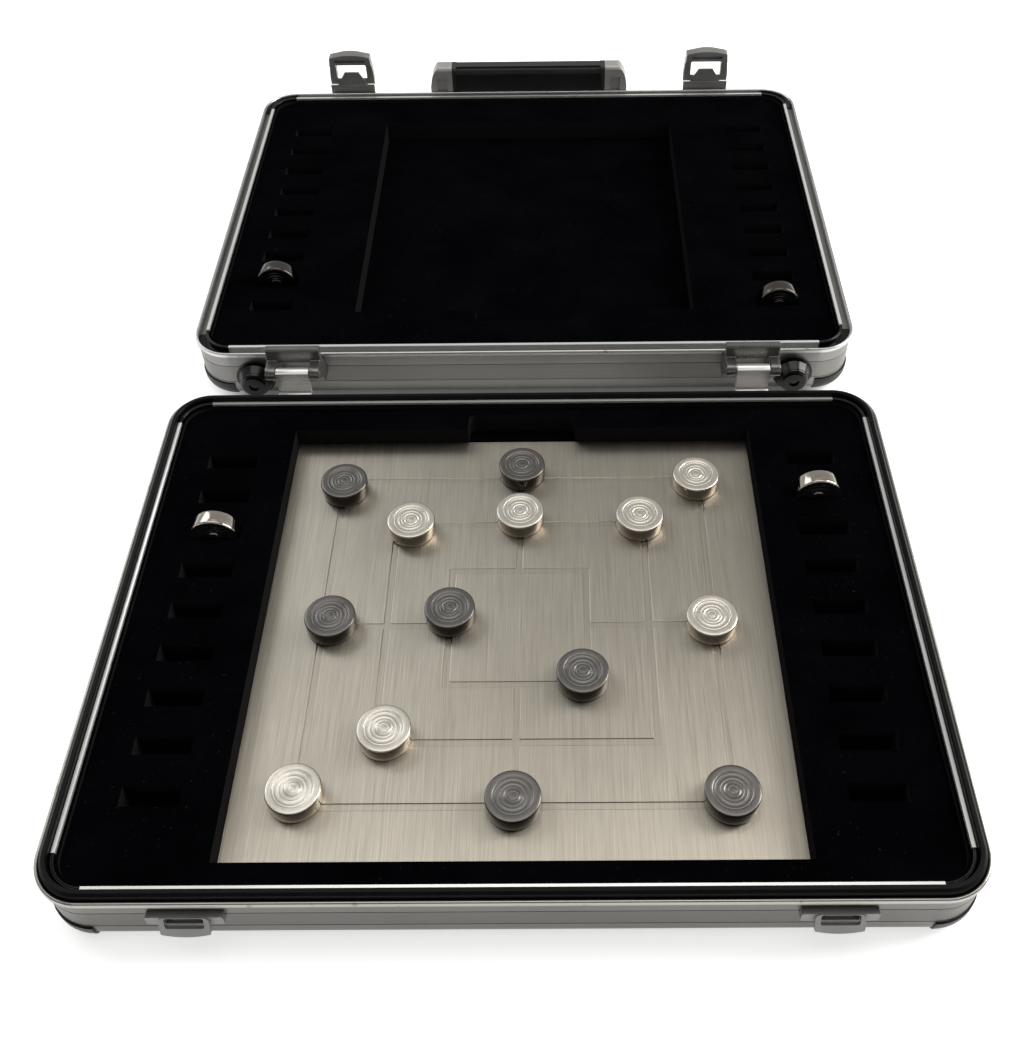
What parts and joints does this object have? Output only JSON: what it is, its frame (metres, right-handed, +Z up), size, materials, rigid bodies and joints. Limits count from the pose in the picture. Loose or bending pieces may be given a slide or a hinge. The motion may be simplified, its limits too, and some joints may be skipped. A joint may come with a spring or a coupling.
{
  "type": "nine mens morris board",
  "caption": "Nine mens morris board sunk in one half of a two-part carrying case, with turned stones, slots for them, hinges, latches and a folding handle.",
  "frame": {"origin": "centre of the bottom of the bounding box of the open case, on the table", "axes": "+X to the right, +Y from the board half towards the lid half, +Z up"},
  "size_m": [0.457, 0.7476, 0.0752],
  "materials": {
    "brushed_frame": "brushed satin",
    "bright_strip": "bright polished",
    "board_metal": "brushed, clear-coated",
    "panel_metal": "brushed satin",
    "hardware_metal": "satin nickel",
    "strap_metal": "satin bright",
    "lever_metal": "satin grey",
    "pin_steel": "smooth",
    "cap_plastic": "fine grain",
    "corner_plastic": "gloss",
    "seal_rubber": "matt",
    "foot_rubber": "semi-gloss",
    "grip_rubber": "matt, soft touch",
    "velvet": "short black pile over foam",
    "stone_silver": "turned, silver",
    "stone_dark": "turned, dark anodised"
  },
  "bodies": {
    "base": {"base_frame": "brushed_frame", "base_panel": "panel_metal", "base_caps": "cap_plastic", "base_lip": "bright_strip", "base_lip_corners": "corner_plastic", "base_seal": "seal_rubber", "base_tray_left": "velvet", "base_tray_right": "velvet", "base_tray_middle": "velvet", "keeper_left": "hardware_metal", "keeper_right": "hardware_metal", "hinge_straps": "strap_metal", "base_feet": "foot_rubber", "base_rivets": "pin_steel"},
    "lid": {"lid_frame": "brushed_frame", "lid_panel": "panel_metal", "lid_caps": "cap_plastic", "lid_lip": "bright_strip", "lid_lip_corners": "corner_plastic", "lid_tray_left": "velvet", "lid_tray_right": "velvet", "lid_tray_middle": "velvet", "hinge_brackets": "strap_metal", "hinge_pins": "pin_steel", "lid_feet": "foot_rubber", "latch_bodies": "lever_metal", "latch_tongues": "lever_metal", "latch_pins": "pin_steel", "handle_mounts": "lever_metal", "handle_pins": "pin_steel", "lid_rivets": "pin_steel"},
    "lever_left": {"latch_lever_left": "lever_metal"},
    "lever_right": {"latch_lever_right": "lever_metal"},
    "handle": {"handle_ends": "lever_metal", "handle_grip": "grip_rubber"},
    "board": {"board_plate": "board_metal"},
    "silver_stone_1": {"silver_stone_1": "stone_silver"},
    "silver_stone_2": {"silver_stone_2": "stone_silver"},
    "silver_stone_3": {"silver_stone_3": "stone_silver"},
    "silver_stone_4": {"silver_stone_4": "stone_silver"},
    "silver_stone_5": {"silver_stone_5": "stone_silver"},
    "silver_stone_6": {"silver_stone_6": "stone_silver"},
    "silver_stone_7": {"silver_stone_7": "stone_silver"},
    "silver_stone_8": {"silver_stone_8": "stone_silver"},
    "silver_stone_9": {"silver_stone_9": "stone_silver"},
    "dark_stone_1": {"dark_stone_1": "stone_dark"},
    "dark_stone_2": {"dark_stone_2": "stone_dark"},
    "dark_stone_3": {"dark_stone_3": "stone_dark"},
    "dark_stone_4": {"dark_stone_4": "stone_dark"},
    "dark_stone_5": {"dark_stone_5": "stone_dark"},
    "dark_stone_6": {"dark_stone_6": "stone_dark"},
    "dark_stone_7": {"dark_stone_7": "stone_dark"},
    "dark_stone_8": {"dark_stone_8": "stone_dark"},
    "dark_stone_9": {"dark_stone_9": "stone_dark"}
  },
  "joints": [
    {"name": "lid_hinge", "type": "hinge", "parent": "base", "child": "lid", "pos_m": [0, -0.00444, 0.0422], "axis": [-1, 0, 0], "range_deg": [-180, 0]},
    {"name": "lever_left_pivot", "type": "hinge", "parent": "lid", "child": "lever_left", "pos_m": [-0.154, 0.36691, 0.0482], "axis": [-1, 0, 0], "range_deg": [0, 100]},
    {"name": "lever_right_pivot", "type": "hinge", "parent": "lid", "child": "lever_right", "pos_m": [0.154, 0.36691, 0.0482], "axis": [-1, 0, 0], "range_deg": [0, 100]},
    {"name": "handle_swing", "type": "hinge", "parent": "lid", "child": "handle", "pos_m": [0, 0.36631, 0.0232], "axis": [-1, 0, 0], "range_deg": [0, 90]},
    {"name": "board_lift", "type": "slide", "parent": "base", "child": "board", "axis": [0, 0, 1], "range_m": [0, 0.04]},
    {"name": "silver_stone_1_lift", "type": "slide", "parent": "board", "child": "silver_stone_1", "axis": [0, 0, 1], "range_m": [0, 0.03]},
    {"name": "silver_stone_2_lift", "type": "slide", "parent": "board", "child": "silver_stone_2", "axis": [0, 0, 1], "range_m": [0, 0.03]},
    {"name": "silver_stone_3_lift", "type": "slide", "parent": "board", "child": "silver_stone_3", "axis": [0, 0, 1], "range_m": [0, 0.03]},
    {"name": "silver_stone_4_lift", "type": "slide", "parent": "board", "child": "silver_stone_4", "axis": [0, 0, 1], "range_m": [0, 0.03]},
    {"name": "silver_stone_5_lift", "type": "slide", "parent": "board", "child": "silver_stone_5", "axis": [0, 0, 1], "range_m": [0, 0.03]},
    {"name": "silver_stone_6_lift", "type": "slide", "parent": "board", "child": "silver_stone_6", "axis": [0, 0, 1], "range_m": [0, 0.03]},
    {"name": "silver_stone_7_lift", "type": "slide", "parent": "board", "child": "silver_stone_7", "axis": [0, 0, 1], "range_m": [0, 0.03]},
    {"name": "silver_stone_8_lift", "type": "slide", "parent": "base", "child": "silver_stone_8", "axis": [0, 0, 1], "range_m": [0, 0.03]},
    {"name": "silver_stone_9_lift", "type": "slide", "parent": "base", "child": "silver_stone_9", "axis": [0, 0, 1], "range_m": [0, 0.03]},
    {"name": "dark_stone_1_lift", "type": "slide", "parent": "board", "child": "dark_stone_1", "axis": [0, 0, 1], "range_m": [0, 0.03]},
    {"name": "dark_stone_2_lift", "type": "slide", "parent": "board", "child": "dark_stone_2", "axis": [0, 0, 1], "range_m": [0, 0.03]},
    {"name": "dark_stone_3_lift", "type": "slide", "parent": "board", "child": "dark_stone_3", "axis": [0, 0, 1], "range_m": [0, 0.03]},
    {"name": "dark_stone_4_lift", "type": "slide", "parent": "board", "child": "dark_stone_4", "axis": [0, 0, 1], "range_m": [0, 0.03]},
    {"name": "dark_stone_5_lift", "type": "slide", "parent": "board", "child": "dark_stone_5", "axis": [0, 0, 1], "range_m": [0, 0.03]},
    {"name": "dark_stone_6_lift", "type": "slide", "parent": "board", "child": "dark_stone_6", "axis": [0, 0, 1], "range_m": [0, 0.03]},
    {"name": "dark_stone_7_lift", "type": "slide", "parent": "board", "child": "dark_stone_7", "axis": [0, 0, 1], "range_m": [0, 0.03]},
    {"name": "dark_stone_8_lift", "type": "slide", "parent": "lid", "child": "dark_stone_8", "axis": [0, 0, 1], "range_m": [0, 0.03]},
    {"name": "dark_stone_9_lift", "type": "slide", "parent": "lid", "child": "dark_stone_9", "axis": [0, 0, 1], "range_m": [0, 0.03]}
  ]
}
